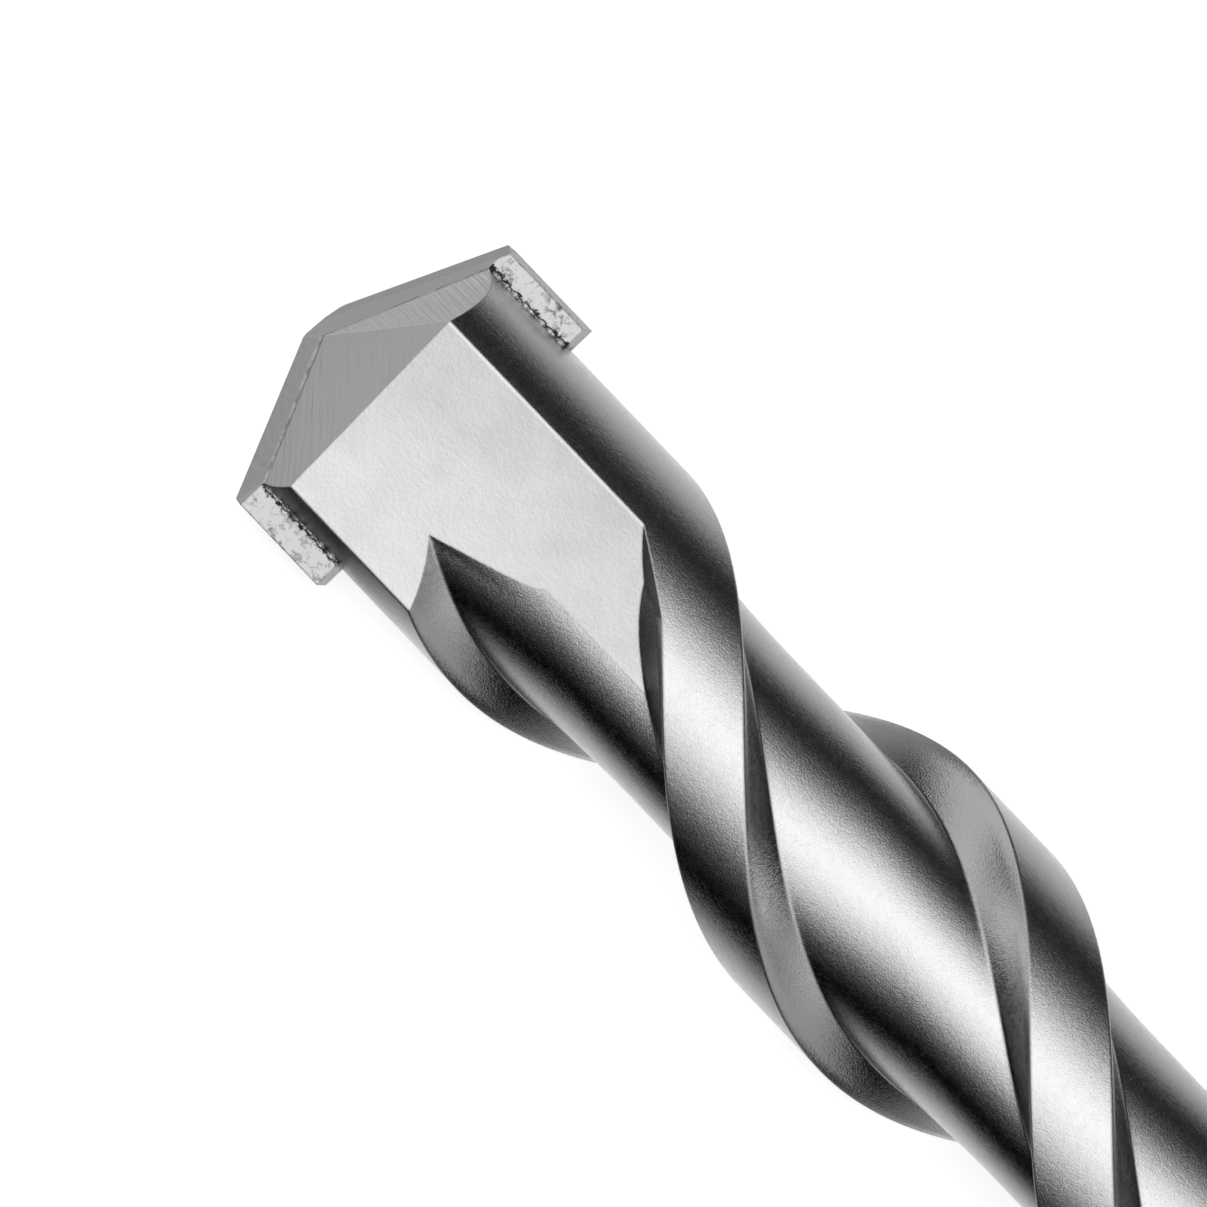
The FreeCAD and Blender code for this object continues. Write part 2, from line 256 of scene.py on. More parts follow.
def flute_side(fillet_radius, floor_radius):
    """The right half of the section of a flute that faces +Y, beside a land on +X. From the land's rim it
    is a broken edge of three points, a wall that leans by the draft, a fillet and the floor, an arc that
    touches the core circle in the flute's middle. The fillet's centre lies one fillet radius off the wall
    and the sum of both radii off the floor's centre. Also gives the fillet's end on the floor."""
    floor_centre = np.array([0, core_radius - floor_radius])
    top = np.array([math.sqrt(bar_radius ** 2 - (land_width / 2) ** 2), land_width / 2])
    normal = np.array([math.sin(land_draft), math.cos(land_draft)])
    along = np.array([math.cos(land_draft), -math.sin(land_draft)])
    off_wall = normal @ (top - floor_centre) + fillet_radius
    reach = math.sqrt((floor_radius + fillet_radius) ** 2 - off_wall ** 2)
    spoke = normal * off_wall + along * reach
    centre = floor_centre + spoke
    foot = centre - normal * fillet_radius
    floor_start = spoke * floor_radius / (floor_radius + fillet_radius)
    outer = np.array([top + (0.5 * edge_break, -1.5 * edge_break), top - (0.3 * edge_break, 0.4 * edge_break),
                      top - along * 1.2 * edge_break])
    outer = np.concatenate([[outer[0] + (bar_radius, -edge_break)], outer])
    wall = outer[-1] + (foot - outer[-1]) * np.linspace(0, 1, wall_points)[1:, None]
    lean = math.atan2(spoke[1], spoke[0])
    bend = np.linspace(1.5 * math.pi - land_draft, lean + math.pi, fillet_points)[1:, None]
    fillet = centre + fillet_radius * np.concatenate([np.cos(bend), np.sin(bend)], axis=1)
    turn = np.linspace(lean, math.pi / 2, floor_points)[1:, None]
    floor = floor_centre + floor_radius * np.concatenate([np.cos(turn), np.sin(turn)], axis=1)
    return np.concatenate([outer, wall, fillet, floor]), floor_centre + floor_start


def flute_outline():
    """The whole section of a flute, closed outside the bar. Its trailing half is as it comes, and its
    leading half is mirrored. Also gives the leading fillet's end on the floor."""
    trailing, _ = flute_side(trailing_fillet, trailing_floor_radius)
    leading, floor_start = flute_side(leading_fillet, leading_floor_radius)
    leading = leading[-2::-1] * (-1, 1)
    outside_bar = trailing[0] + (0, outside)
    return np.concatenate([trailing, leading, [outside_bar * (-1, 1), outside_bar]]), floor_start


def land_turn(height):
    """The angle of the middle of the first land at a height."""
    return -90 + (height - (overall_length - land_front_depth)) * turn_per_mm


def lift(foot, radius, upward):
    """What the cutter leaves standing as it lifts out: a turned solid whose radius grows along an arc."""
    rise = bar_radius - core_radius + runout_overshoot
    end = math.acos((radius - rise) / radius)
    bend = np.linspace(0, end, runout_rings)
    radii = core_radius - runout_sink + radius * (1 - np.cos(bend))
    heights = foot + upward * radius * np.sin(bend)
    radii = np.append(radii, radii[-1])
    heights = np.append(heights, heights[-1] + upward * outside)
    return turned("lift", radii, heights, FLUTE)


outline, floor_start = flute_outline()
flute_top = overall_length - flute_start_depth
flute_bottom = flute_length_end - clear
heights = np.linspace(flute_bottom, flute_top, int((flute_top - flute_bottom) * turn_per_mm / step_turn))
flute = twisted("flute", outline, land_turn(heights) - 180, heights, FLUTE)
fillet_half = math.degrees(math.atan2(floor_start[1], floor_start[0]))
flute_limit = overall_length - land_front_depth + (flat_facing + fillet_half + 90) / turn_per_mm
shank_rise = bar_radius - core_radius
shank_run = math.sqrt(shank_runout_radius ** 2 - (shank_runout_radius - shank_rise) ** 2)
beside_flat = block("beside_flat", 0, outside, -outside, flat_distance + flat_step, flute_limit,
                    overall_length + clear, flat_facing, FLAT)
carve(flute, [beside_flat, land_end(),
              lift(flute_length_end + shank_run, shank_runout_radius, -1),
              lift(overall_length - tip_runout_depth, tip_runout_radius, 1)])
cutters += [flute, half_turned(flute)]


# Shank. Two closed grooves hold the chuck's locking balls, and two open grooves take its drive keys.

ball_radius = 3.5
lock_groove_depth = 1.5
lock_groove_start = 8.5
lock_groove_end = 28.5
pole_turn = 0.02
ball_rings = 20
drive_groove_width = 3.0
drive_groove_depth = 1.4
drive_groove_length = 27.0
drive_groove_exit_radius = 12.0
exit_points = 16


def lock_groove():
    """A rod with ball ends along the shank, sunk into it by the groove's depth. Each ball stops a small
    turn short of its pole."""
    bend = np.linspace(pole_turn, math.pi / 2, ball_rings)
    low = lock_groove_start + ball_radius * (1 - np.cos(bend))
    high = lock_groove_end - ball_radius * (1 - np.cos(bend[::-1]))
    radii = ball_radius * np.concatenate([np.sin(bend), np.sin(bend[::-1])])
    off_axis = shank_radius - lock_groove_depth + ball_radius
    return turned("lock_groove", radii, np.concatenate([low, high]), GROOVE, around=96,
                  centre=(0.0, -off_axis))


def drive_groove():
    """A slot for a drive key, whose floor rises out of the shank along an arc."""
    floor = shank_radius - drive_groove_depth
    drop = drive_groove_exit_radius - drive_groove_depth - clear
    bend = np.linspace(0, math.acos(drop / drive_groove_exit_radius), exit_points)
    turn = drive_groove_length - drive_groove_exit_radius * math.sin(bend[-1])
    radii = np.concatenate([[floor], floor + drive_groove_exit_radius * (1 - np.cos(bend)),
                            [shank_radius + clear]])
    heights = np.concatenate([[-clear], turn + drive_groove_exit_radius * np.sin(bend), [-clear]])
    side = np.full(len(radii), drive_groove_width / 2)
    rings = [np.stack([radii, sign * side, heights], axis=-1) for sign in (-1, 1)]
    return tube("drive_groove", rings, GROOVE)


for groove in (lock_groove(), drive_groove()):
    cutters += [groove, half_turned(groove)]


# Roof of the head. On each side of the plate a steep facet and a shallow one are ground together with the
# plate's edges. Both are slightly twisted.

plate_thickness = 2.4
half_plate = plate_thickness / 2
plate_height = 8.3
braze_gap = 0.1
crest_offset = 0.57
crest_depth = 0.57
shoulder_depth = 3.48
front_corner_depth = 4.54
rake_corner_depth = 4.66
side_corner_depth = 5.1
side_corner_turn = 25.9
side_corner_overhang = 0.93
facet_overreach = 0.35
facet_overlap = 0.03
facet_points = 9


def at_depth(x, front, depth):
    """A place by its distances along and before the plate's middle, and its depth below the tip."""
    return np.array([x, -front, overall_length - depth])


def round_the_axis(radius, degrees, depth):
    """A place by its distance from the axis, its angle and its depth below the tip."""
    return np.append(polar(radius, degrees), overall_length - depth)


def roof_facet(name, crest, shoulder, front_corner, outer_corner, finish):
    """The space above a ruled facet, from the line crest to shoulder, beside the plate, to the line front
    corner to outer corner, at the rim. Both lines are stretched past the bar first, and the facet starts a
    little before the ridge that it shares with its neighbour."""
    front_step = (front_corner - crest) * facet_overreach
    outer_step = (outer_corner - shoulder) * facet_overreach
    crest, front_corner = crest - front_step, front_corner + front_step
    shoulder, outer_corner = shoulder - outer_step, outer_corner + outer_step
    shoulder = shoulder + (shoulder - crest) * facet_overreach
    outer_corner = outer_corner + (outer_corner - front_corner) * facet_overreach
    across = np.linspace(-facet_overlap, 1, facet_points)[None, :, None]
    out = np.linspace(0, 1, facet_points)[:, None, None]
    low = (crest + (shoulder - crest) * across) * (1 - out)
    low = low + (front_corner + (outer_corner - front_corner) * across) * out
    high = low[:, ::-1].copy()
    high[..., 2] = overall_length + 2 * clear
    return tube(name, np.concatenate([low, high], axis=1), finish)


shoulder_x = math.sqrt(bar_radius ** 2 - half_plate ** 2)
crest = at_depth(-crest_offset, half_plate, crest_depth)
front_corner = round_the_axis(bar_radius, flat_facing + flat_edge_turn, front_corner_depth)
rake_corner = round_the_axis(bar_radius, flat_facing - flat_edge_turn, rake_corner_depth)
side_corner = round_the_axis(bar_radius + side_corner_overhang, -side_corner_turn, side_corner_depth)
rake_shoulder = at_depth(-shoulder_x, half_plate, shoulder_depth)
side_shoulder = at_depth(shoulder_x, half_plate, shoulder_depth)


def roof():
    """The space above the four facets."""
    rake = roof_facet("rake_facet", crest, rake_shoulder, front_corner, rake_corner, RAKE)
    side = roof_facet("side_facet", crest, side_shoulder, front_corner, side_corner, SIDE)
    return [rake, half_turned(rake), side, half_turned(side)]


def slot(gap, top, finish):
    """The space of the plate with a gap round it, open at its ends."""
    half = half_plate + gap
    return block("slot", -half, half, -outside, outside, overall_length - plate_height - gap, top, 0, finish)


carve(steel_body, cutters + roof() + [slot(braze_gap, overall_length + 2 * clear, SLOT)])


# Finishes of the steel. The bar and the flutes are blasted, the flats are milled and the roof is ground.
# The body is laid down here too, on its lands, and turned until the trailing corner of a plate end touches
# the ground. The photograph looks at it from photo_front, with photo_right square to that and to the bit.

cutting_radius = 8.1
plate_end_relief = 0.25
corner_x = cutting_radius - plate_end_relief
corner_turn = 180 - math.degrees(math.atan2(half_plate, corner_x))
way_down = corner_turn - math.degrees(math.acos(bar_radius / math.hypot(corner_x, half_plate)))
lay_down = (Matrix.Translation((body_low.x, 0, bar_radius * MM)) @ Matrix.Scale(MM, 4)
            @ Matrix.Rotation(math.pi / 2, 4, "Y") @ Matrix.Rotation(-math.radians(way_down), 4, "Z"))
plate_front = (lay_down.to_3x3() @ Vector((0, -1, 0))).normalized()
plate_along = (lay_down.to_3x3() @ Vector((1, 0, 0))).normalized()
along_axis = Vector((1, 0, 0))
photo_turn = math.radians(39.1)
photo_front = Vector((0, math.cos(photo_turn), math.sin(photo_turn)))
photo_right = Vector((0, -math.sin(photo_turn), math.cos(photo_turn)))


def linear(hex_colour):
    """Linear colour of an sRGB hex value: each channel through the sRGB curve."""
    channels = [int(hex_colour[i:i + 2], 16) / 255 for i in (1, 3, 5)]
    return [c / 12.92 if c <= 0.04045 else ((c + 0.055) / 1.055) ** 2.4 for c in channels] + [1.0]


def node(tree, kind, settings):
    """Adds a node of that kind. A setting goes to a socket, by name or number, or else to a property. One
    that is another node's output is linked."""
    made = tree.nodes.new(kind)
    for key, value in settings.items():
        if isinstance(value, bpy.types.NodeSocket):
            tree.links.new(value, made.inputs[key])
        elif isinstance(key, int) or key in made.inputs:
            made.inputs[key].default_value = value
        else:
            setattr(made, key, value)
    return made


def maths(tree, operation, *values):
    """The result of an operation on one to three values."""
    return node(tree, "ShaderNodeMath", {"operation": operation, **dict(enumerate(values))}).outputs[0]


def dot(tree, place, way):
    """How far a place lies along a way."""
    settings = {"operation": "DOT_PRODUCT", 0: place, 1: way}
    return node(tree, "ShaderNodeVectorMath", settings).outputs["Value"]


def fade(tree, value, start, end, low=0.0, high=1.0, shape="LINEAR"):
    """A value that runs from low to high while another passes from start to end."""
    return node(tree, "ShaderNodeMapRange", {
        "interpolation_type": shape, "Value": value, "From Min": start, "From Max": end,
        "To Min": low, "To Max": high}).outputs[0]


def mixed(tree, share, one, two):
    """One number mixed with another by the second one's share."""
    settings = {"data_type": "FLOAT", 0: share, 2: one, 3: two}
    return node(tree, "ShaderNodeMix", settings).outputs[0]


def toned(tree, share, one, two):
    """One colour mixed with another by the second one's share."""
    settings = {"data_type": "RGBA", 0: share, 6: one, 7: two}
    return node(tree, "ShaderNodeMix", settings).outputs[2]


def noise(tree, place, per_mm, detail, roughness, distortion=0.0):
    """Noise with that many grains to a millimetre, as a number and as a colour."""
    return node(tree, "ShaderNodeTexNoise", {
        "Vector": place, "Scale": per_mm / MM, "Detail": detail, "Roughness": roughness,
        "Distortion": distortion}).outputs


def ramp(tree, value, stops):
    """A colour that follows a value from stop to stop, each a place from 0 to 1 and a colour."""
    made = node(tree, "ShaderNodeValToRGB", {0: value})
    elements = made.color_ramp.elements
    for index, (place, colour) in enumerate(stops):
        stop = elements[index] if index < 2 else elements.new(place)
        stop.position = place
        stop.color = colour
    return made.outputs[0]


def bumped(tree, height, strength, depth):
    """The normal over a relief of that depth in millimetres. It also turns the corners over about a tenth
    of a millimetre, as broken edges do."""
    corner = node(tree, "ShaderNodeBevel", {"samples": 4, "Radius": broken_edge * MM})
    return node(tree, "ShaderNodeBump", {"Strength": strength, "Distance": depth * MM, "Height": height,
                                         "Normal": corner.outputs[0]}).outputs[0]


def metal(name, colour, roughness):
    """A material that is one plain metal: the material, its tree, its shader and the place on it."""
    material = bpy.data.materials.new(name)
    material.use_nodes = True
    tree = material.node_tree
    shader = tree.nodes["Principled BSDF"]
    shader.inputs["Base Color"].default_value = linear(colour)
    shader.inputs["Metallic"].default_value = 1.0
    shader.inputs["Roughness"].default_value = roughness
    return material, tree, shader, node(tree, "ShaderNodeTexCoord", {}).outputs["Object"]


def about_plate(tree, place):
    """How far a place lies in front of the middle of the plate, and how far along it from the axis."""
    on_axis = Vector((0, 0, bar_radius * MM))
    found = []
    for way in (plate_front, plate_along):
        away = node(tree, "ShaderNodeVectorMath", {"operation": "SUBTRACT", 0: place, 1: on_axis})
        found.append(dot(tree, away.outputs[0], way))
    return found


def speckled(tree, normal, colour):
    """A normal that is turned a little by the colour of a noise, so that it sparkles alike both ways."""
    centred = node(tree, "ShaderNodeVectorMath", {"operation": "SUBTRACT", 0: colour, 1: (0.5, 0.5, 0.5)})
    slight = node(tree, "ShaderNodeVectorMath", {"operation": "SCALE", 0: centred.outputs[0],
                                                 "Scale": speckle})
    both = node(tree, "ShaderNodeVectorMath", {"operation": "ADD", 0: normal, 1: slight.outputs[0]})
    return node(tree, "ShaderNodeVectorMath", {"operation": "NORMALIZE", 0: both.outputs[0]}).outputs[0]


broken_edge = 0.13
speckle = 0.22
painted_shade_width = (3.8, 3.3)        # the painted shade fades out over these distances from the plate's middle
painted_shade_ragged = 1.2
painted_shade_depth = (13.0, 8.0)       # and over these depths below the tip


def blasted_steel():
    """Hardened tool steel, blasted with fine grit: a grey metal whose highlights are soft and grainy, and
    softer in some patches than in others. On the trailing side of each plate end the bar is painted dark
    beside the plate, a painted shade where the plate shades it. The grit is drawn coarser than it is, so that
    it shows."""
    material, tree, shader, place = metal("blasted_steel", "#DADADA", 0.13)
    grain = noise(tree, place, 13, 2, 0.6)
    patch = noise(tree, place, 3, 3, 0.6)
    normal = bumped(tree, mixed(tree, 0.35, grain["Fac"], patch["Fac"]), 0.7, 0.03)
    in_front, along_plate = about_plate(tree, place)
    # Painted shade: the colour goes dark on the trailing side of each plate end, near the plate and below the
    # tip.
    trailing = maths(tree, "LESS_THAN", maths(tree, "MULTIPLY", in_front, along_plate), 0.0)
    ragged = maths(tree, "MULTIPLY_ADD", patch["Fac"], painted_shade_ragged * MM, -painted_shade_ragged / 2 * MM)
    reach = maths(tree, "ADD", maths(tree, "ABSOLUTE", in_front), ragged)
    near = fade(tree, reach, painted_shade_width[0] * MM, painted_shade_width[1] * MM)
    toward_tip = node(tree, "ShaderNodeSeparateXYZ", {0: place}).outputs[0]
    beside = fade(tree, toward_tip, tip_high.x - painted_shade_depth[0] * MM, tip_high.x - painted_shade_depth[1] * MM)
    painted_shade = maths(tree, "MULTIPLY", maths(tree, "MULTIPLY", near, beside), trailing)
    tree.links.new(toned(tree, painted_shade, linear("#DADADA"), linear("#262626")), shader.inputs["Base Color"])
    tree.links.new(maths(tree, "MULTIPLY_ADD", patch["Fac"], 0.5, -0.12), shader.inputs["Roughness"])
    tree.links.new(speckled(tree, normal, grain["Color"]), shader.inputs["Normal"])
    return material


def milled_steel():
    """The same steel where a cutter has faced it: flatter and brighter, with faint marks. It is a little
    cloudy, and painted darker towards one end of the plate, by a share of 0.06 each millimetre, a painted
    shade for the light falling off across the flat."""
    material, tree, shader, place = metal("milled_steel", "#E8E8E8", 0.28)
    grain = noise(tree, place, 6, 3, 0.7)["Fac"]
    patch = noise(tree, place, 0.5, 3, 0.6)["Fac"]
    cloud = noise(tree, place, 0.26, 5, 0.65)["Fac"]
    _, along_plate = about_plate(tree, place)
    # Painted shade: the share grows along the plate, so the colour darkens towards one end.
    share = maths(tree, "MULTIPLY_ADD", along_plate, 0.06 / MM, cloud)
    tree.links.new(toned(tree, share, linear("#FDFDFD"), linear("#D3D3D3")), shader.inputs["Base Color"])
    tree.links.new(bumped(tree, mixed(tree, 0.5, grain, patch), 0.7, 0.03), shader.inputs["Normal"])
    return material


def ground_steel(name, streak_way, colour):
    """The same steel off the grinding wheel, streaked, in the grey that is given for its facet. Its streaks
    are noise that is stretched along one way: the place is measured finely across the streaks and coarsely
    along them."""
    material, tree, shader, place = metal(name, colour, 0.32)
    across = dot(tree, place, streak_way.cross(photo_front).normalized())
    along = maths(tree, "MULTIPLY", dot(tree, place, streak_way), 0.06)
    stretched = node(tree, "ShaderNodeCombineXYZ", {0: across, 1: along}).outputs[0]
    fine = noise(tree, stretched, 5, 2, 0.6)["Fac"]
    cloud = noise(tree, place, 0.45, 2, 0.5)["Fac"]
    tree.links.new(bumped(tree, maths(tree, "MULTIPLY", fine, cloud), 1.0, 0.1), shader.inputs["Normal"])
    return material


blasted = blasted_steel()
milled = milled_steel()
# The two facets' greys differ only to paint the light on them: the rake facet's darker grey is painted shade
# and the side facet's lighter grey is painted light.
rake_ground = ground_steel("rake_ground_steel", (along_axis + photo_right).normalized(), "#CFCFCF")
side_ground = ground_steel("side_ground_steel", along_axis, "#F8F8F8")
finishes = {BAR: blasted, FLUTE: blasted, FLAT: milled, EDGE: milled, RAKE: rake_ground, SIDE: side_ground,
            SLOT: milled, GROOVE: milled}


def sharp_edges(mesh, tag_angle=1.5, plain_angle=24.0):
    """Shades the mesh smooth, but sharp where two finishes meet or where the surface turns hard."""
    edge_count = len(mesh.edges)
    loop_edges = np.empty(len(mesh.loops), int)
    mesh.loops.foreach_get("edge_index", loop_edges)
    totals = np.empty(len(mesh.polygons), int)
    mesh.polygons.foreach_get("loop_total", totals)
    normals = np.empty(len(mesh.polygons) * 3)
    mesh.polygons.foreach_get("normal", normals)
    normals = normals.reshape(-1, 3)
    tags = np.empty(len(mesh.polygons), int)
    mesh.polygons.foreach_get("material_index", tags)
    owner = np.repeat(np.arange(len(mesh.polygons)), totals)
    order = np.argsort(loop_edges, kind="stable")
    edges, first = np.unique(loop_edges[order], return_index=True)
    paired = np.append(np.diff(first), len(order) - first[-1]) == 2
    one = owner[order[first[paired]]]
    two = owner[order[first[paired] + 1]]
    turn = np.degrees(np.arccos(np.clip((normals[one] * normals[two]).sum(axis=1), -1, 1)))
    sharp = np.zeros(edge_count, bool)
    sharp[edges[paired]] = (turn > plain_angle) | ((tags[one] != tags[two]) & (turn > tag_angle))
    mesh.attributes.new("sharp_edge", "BOOLEAN", "EDGE").data.foreach_set("value", sharp)
    mesh.polygons.foreach_set("use_smooth", np.ones(len(mesh.polygons), bool))


def shaded(piece):
    """Sharp edges, and normals that follow the larger face where a narrow one meets it."""
    sharp_edges(piece.data)
    weigh = piece.modifiers.new("weigh", "WEIGHTED_NORMAL")
    weigh.keep_sharp = True
    weigh.weight = 100
    bpy.context.view_layer.update()
    result = piece.evaluated_get(bpy.context.evaluated_depsgraph_get())
    mesh = bpy.data.meshes.new_from_object(result)
    piece.modifiers.clear()
    piece.data = mesh


def lay(piece):
    """Turns a standing piece onto its side in the frame."""
    piece.data.transform(lay_down)
    piece.data.update()


def dress(piece, materials):
    """Gives a piece its materials, in the order of its faces' numbers. A Boolean leaves empty slots, and
    they are filled first."""
    slots = piece.data.materials
    for index, material in enumerate(materials):
        if index < len(slots):
            slots[index] = material
        else:
            slots.append(material)


lay(steel_body)
dress(steel_body, [finishes[finish] for finish in range(len(finishes))])
shaded(steel_body)
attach(steel_body, "root")
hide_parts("steel_body")


# Plate. It is one piece of sintered carbide, brazed into the slot. Its roof is ground together with the
# steel, and its sides and ends keep the rough grey skin of the furnace.

plate_end_facet_slope = 0.86
clearance_slope = 0.34
relief_slope = 0.9
rake_slope = 2.39
point_angle = math.radians(132.8)
lip_slope = 1 / math.tan(point_angle / 2)
chisel_flat = 0.15
SKIN, GRIND = range(2)


def above(name, across, forward, offset):
    """The space above a ground plane whose depth grows by across along X and by forward to the front."""
    reach = 2 * cutting_radius
    x = np.array([-reach, reach, reach, -reach])
    front = np.array([-reach, -reach, reach, reach])
    low = np.stack([x, -front, overall_length - (across * x + forward * front + offset)], axis=-1)
    return tube(name, [low, low + (0, 0, 4 * reach)], GRIND)


def seam_face(name, side, forward):
    """The space above a ground face that meets the steel along its seam with the roof on that side. Past
    the bar a small facet runs level along the front of the plate."""
    across = (shoulder_depth - crest_depth) / (shoulder_x + side * crest_offset)
    offset = crest_depth + across * side * crest_offset - forward * half_plate
    level = above("level", 0, plate_end_facet_slope, shoulder_depth - plate_end_facet_slope * half_plate)
    return carve(above(name, side * across, forward, offset), [level], "INTERSECT")


plate_outline = np.array([(cutting_radius, half_plate), (-corner_x, half_plate),
                          (-cutting_radius, -half_plate), (corner_x, -half_plate)])
plate = twisted("carbide_plate", plate_outline, np.zeros(2),
                np.array([overall_length - plate_height, overall_length]), SKIN)
grinds = []
for grind in (above("clearance", lip_slope, clearance_slope, -chisel_flat), seam_face("rake", -1, rake_slope),
              seam_face("relief", 1, relief_slope)):
    grinds += [grind, half_turned(grind)]
carve(plate, grinds)
lay(plate)

stain_start = (6.96, 6.84)      # the seam's stain fades in over these distances from the axis
stain_ragged = 1.0


def sintered_carbide():
    """Carbide as it leaves the furnace: light grey and grainy, with dark pits. Flux has stained it along
    the seam with the bar."""
    material, tree, shader, place = metal("sintered_carbide", "#E6E6E6", 0.42)
    pits = noise(tree, place, 3.6, 5, 0.7, 0.6)["Fac"]
    patches = noise(tree, place, 0.9, 4, 0.6)["Fac"]
    both = mixed(tree, 0.4, pits, patches)
    tone = ramp(tree, both, [(0.36, linear("#6A6A6A")), (0.5, linear("#DADADA"))])
    _, along_plate = about_plate(tree, place)
    ragged = maths(tree, "MULTIPLY_ADD", pits, stain_ragged * MM, -stain_ragged / 2 * MM)
    away = maths(tree, "ADD", maths(tree, "ABSOLUTE", along_plate), ragged)
    stain = fade(tree, away, stain_start[0] * MM, stain_start[1] * MM)
    tree.links.new(toned(tree, stain, tone, linear("#2E2E2E")), shader.inputs["Base Color"])
    tree.links.new(bumped(tree, both, 0.5, 0.04), shader.inputs["Normal"])
    return material


def ground_carbide():
    """Carbide off the diamond wheel: a darker grey metal than steel, with a fine even grain."""
    material, tree, shader, place = metal("ground_carbide", "#C9C9C9", 0.34)
    grain = noise(tree, place, 2.5, 3, 0.6)["Fac"]
    tree.links.new(bumped(tree, grain, 0.5, 0.03), shader.inputs["Normal"])
    return material


dress(plate, [sintered_carbide(), ground_carbide()])
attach(plate, "root")
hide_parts("carbide_tip")


# Braze. Silver braze fills the slot round the plate. It is ground off with the roof, and where the plate
# leaves the bar it stands proud in a row of small beads.

bead_radius = 0.11
bead_swell = 0.07
bead_stretch = 1.5
bead_step = 0.17
bead_count = 25
bead_start = 0.3
bead_sink = 0.02
bead_wander = 0.06
bead_pole_turn = 0.15
bead_rings = 9


def bead_row(side, front):
    """A row of beads up one corner between the plate and the bar. Each is a small ball, drawn out along
    the bar, and their sizes and places swing by sines of their number that don't repeat."""
    number = np.arange(bead_count)
    size = bead_radius + bead_swell * np.sin(2.3 * number + side) * np.sin(0.7 * number + front)
    height = overall_length - plate_height + bead_start + number * bead_step
    out = shoulder_x - bead_sink + bead_wander * np.sin(1.9 * number + side)
    bend = np.linspace(bead_pole_turn, math.pi - bead_pole_turn, bead_rings)
    return [turned("bead", radius * np.sin(bend), middle - bead_stretch * radius * np.cos(bend), 0,
                   around=12, centre=(side * away, -front * half_plate))
            for radius, middle, away in zip(size, height, out)]


film = turned("braze_film", [bar_radius, bar_radius],
              [overall_length - plate_height - braze_gap, overall_length + clear], 0, around=360)
carve(film, [slot(braze_gap, overall_length + 2 * clear, 0)], "INTERSECT")
carve(film, roof() + [slot(0, overall_length + 3 * clear, 0)])
beads = [bead for side in (-1, 1) for front in (-1, 1) for bead in bead_row(side, front)]


def joined(name, pieces):
    """One mesh from several pieces, which are removed."""
    work = bmesh.new()
    for piece in pieces:
        work.from_mesh(piece.data)
        bpy.data.objects.remove(piece)
    mesh = bpy.data.meshes.new(name)
    work.to_mesh(mesh)
    work.free()
    made = bpy.data.objects.new(name, mesh)
    bpy.context.scene.collection.objects.link(made)
    return made


braze = joined("braze_seam", [film] + beads)
lay(braze)


def silver_braze():
    """Silver braze with flux in its hollows: a bright metal, uneven and stained."""
    material, tree, shader, place = metal("silver_braze", "#E8E8E8", 0.3)
    stain = noise(tree, place, 2.2, 3, 0.6)["Fac"]
    tone = ramp(tree, stain, [(0.4, linear("#ABABAB")), (0.62, linear("#E6E6E6"))])
    tree.links.new(tone, shader.inputs["Base Color"])
    return material


dress(braze, [silver_braze()])
shaded(braze)
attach(braze, "root")
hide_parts("braze_joint")


# Floor. A pale sheet of paper that the bit lies on. It shows white to the camera and keeps a faint shadow.

floor_size = 3.0
floor_glow = 0.75
WHITE = (1, 1, 1, 1)
floor_mesh = bpy.data.meshes.new("floor")
floor_mesh.from_pydata([(-floor_size, -floor_size, 0), (floor_size, -floor_size, 0),
                        (floor_size, floor_size, 0), (-floor_size, floor_size, 0)], [], [(0, 1, 2, 3)])
floor = bpy.data.objects.new("floor", floor_mesh)
bpy.context.scene.collection.objects.link(floor)


def to_camera_only(tree):
    """One for what the camera sees by itself, and none for what it sees in the metal."""
    return node(tree, "ShaderNodeLightPath", {}).outputs["Is Camera Ray"]


def white_paper():
    """Matt white paper, which also glows for the camera alone."""
    material = bpy.data.materials.new("white_paper")
    material.use_nodes = True
    tree = material.node_tree
    shader = tree.nodes["Principled BSDF"]
    shader.inputs["Base Color"].default_value = linear("#F4F4F4")
    shader.inputs["Roughness"].default_value = 0.9
    strength = maths(tree, "MULTIPLY", to_camera_only(tree), floor_glow)
    glow = node(tree, "ShaderNodeEmission", {"Color": WHITE, "Strength": strength})
    both = node(tree, "ShaderNodeAddShader", {0: shader.outputs[0], 1: glow.outputs[0]})
    tree.links.new(both.outputs[0], tree.nodes["Material Output"].inputs["Surface"])
    return material


floor.data.materials.append(white_paper())
floor.visible_glossy = False


# Camera. It looks at the head from the side and from above, a little from the shank's end, with the bit
# running from the upper left to the lower right of the picture.

lean_angle = math.radians(6.0)
roll_angle = math.radians(46.34)
camera_distance = 0.691
picture_pixels = 1207
lens_pixels = 16000.0
sensor_width = 36.0
picture_centre = Vector((0.06265, -0.000195, 0.00709))

shankward = -along_axis
to_camera = photo_front * math.cos(lean_angle) + shankward * math.sin(lean_angle)
along_bit = shankward * math.cos(lean_angle) - photo_front * math.sin(lean_angle)
picture_right = along_bit * math.cos(roll_angle) + photo_right * math.sin(roll_angle)
picture_up = photo_right * math.cos(roll_angle) - along_bit * math.sin(roll_angle)
camera_data = bpy.data.cameras.new("camera")
camera_data.sensor_width = sensor_width
camera_data.lens = sensor_width * lens_pixels / picture_pixels
camera_data.clip_start = 0.01
camera = bpy.data.objects.new("camera", camera_data)
bpy.context.scene.collection.objects.link(camera)
turn = Matrix((picture_right, picture_up, to_camera)).transposed().to_4x4()
camera.matrix_world = Matrix.Translation(picture_centre + to_camera * camera_distance) @ turn
bpy.context.scene.camera = camera


# Studio. A wide soft panel stands behind the camera along the bit, with black flags beside it and grey
# walls further round. Directions are told by their angle about the bit, from the camera's side, and by
# how far they point along it, from 0 to 1.

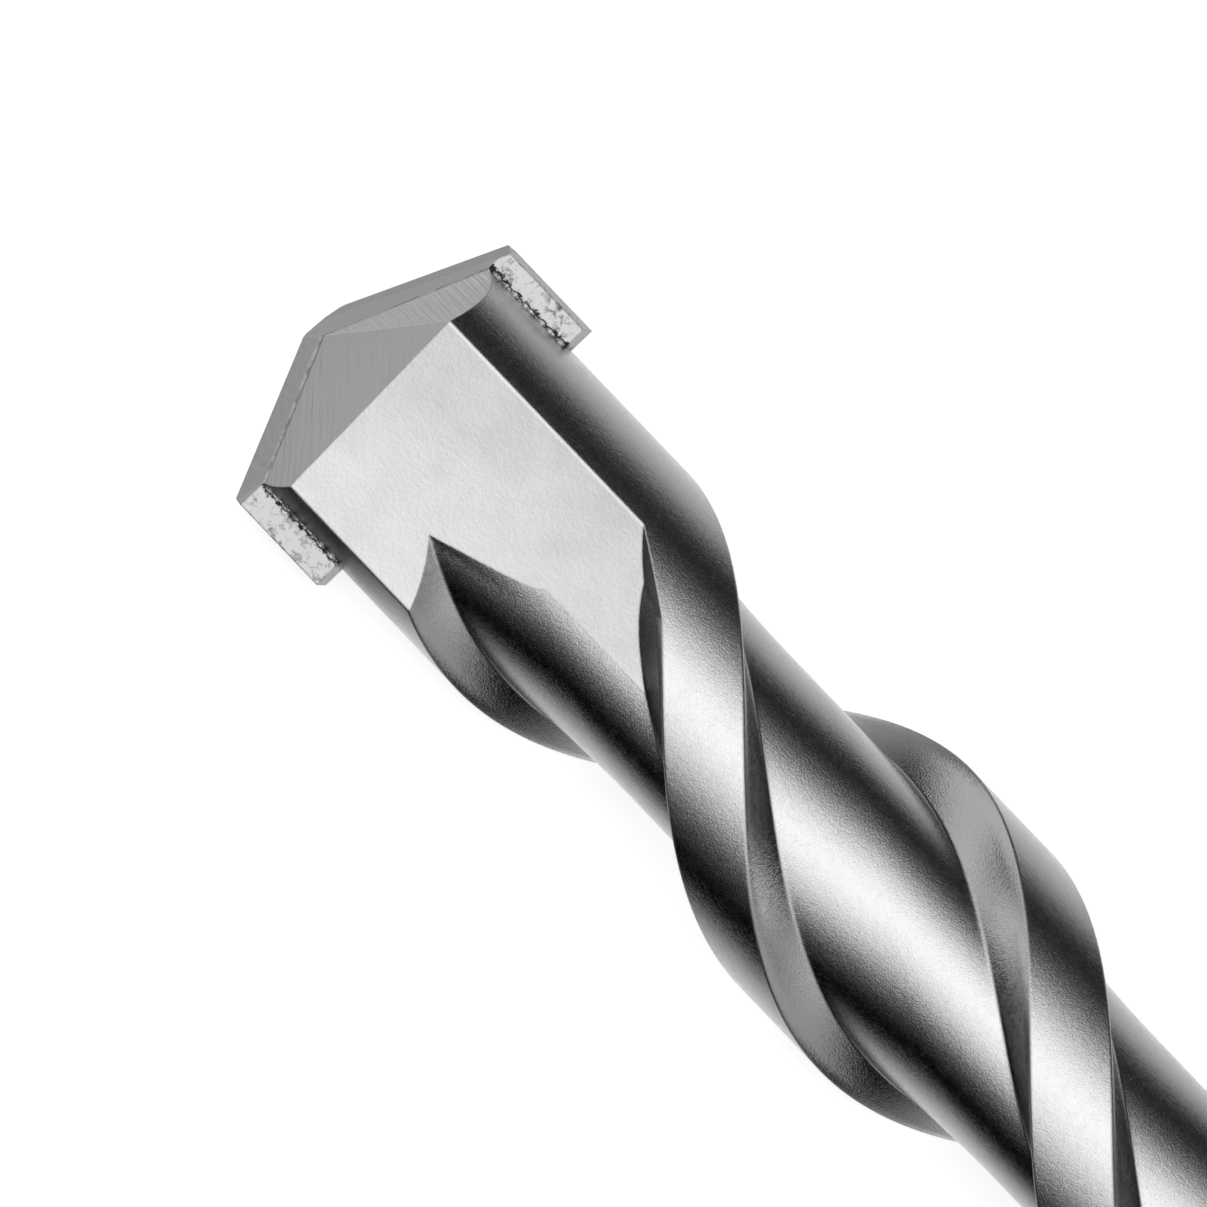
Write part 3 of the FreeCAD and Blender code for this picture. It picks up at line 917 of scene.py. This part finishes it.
panel_levels = ((-180, 0.88), (-165, 0.82), (-155, 0.67), (-135, 0.5), (-120, 0.26), (-108, 0.06), (-97, 0),
                (-85, 0), (-75, 0.02), (-65, 0.06), (-55, 0.14), (-45, 0.39), (-35, 0.74), (-26, 0.96),
                (-15, 1.22), (-6, 1.4), (6, 1.4), (15, 1.3), (25, 1.02), (35, 0.72), (45, 0.38),
                (55, 0.16), (65, 0.06), (78, 0.02), (90, 0.02), (105, 0.13), (115, 0.36), (135, 0.54),
                (155, 0.71), (165, 0.82), (180, 0.88))
panel_end = (0.2, 0.45)
panel_end_dim = 0.5
tip_wall_edge = (0.74, 0.88)
tip_wall_level = 0.56
shank_wall_edge = (-0.72, -0.92)
shank_wall_level = 0.37

world = bpy.data.worlds.new("studio")
bpy.context.scene.world = world
world.use_nodes = True
tree = world.node_tree
studio = tree.nodes["Background"]
direction = node(tree, "ShaderNodeTexCoord", {}).outputs["Generated"]
angle = maths(tree, "ARCTAN2", dot(tree, direction, photo_right), dot(tree, direction, photo_front))
levels = ramp(tree, fade(tree, angle, -math.pi, math.pi),
              [((degrees + 180) / 360, (level, level, level, 1)) for degrees, level in panel_levels])
sideways = dot(tree, direction, along_axis)
dimmed = fade(tree, maths(tree, "ABSOLUTE", sideways), *panel_end, 1.0, panel_end_dim, "SMOOTHSTEP")
panel = maths(tree, "MULTIPLY", levels, dimmed)
tip_wall = mixed(tree, fade(tree, sideways, *tip_wall_edge, shape="SMOOTHSTEP"), panel, tip_wall_level)
walls = mixed(tree, fade(tree, sideways, *shank_wall_edge, shape="SMOOTHSTEP"), tip_wall, shank_wall_level)
tree.links.new(walls, studio.inputs["Color"])
plain = node(tree, "ShaderNodeBackground", {"Color": WHITE, "Strength": 1.0})
shown = node(tree, "ShaderNodeMixShader", {0: to_camera_only(tree), 1: studio.outputs[0], 2: plain.outputs[0]})
tree.links.new(shown.outputs[0], tree.nodes["World Output"].inputs["Surface"])
bpy.context.scene.view_settings.view_transform = "Standard"
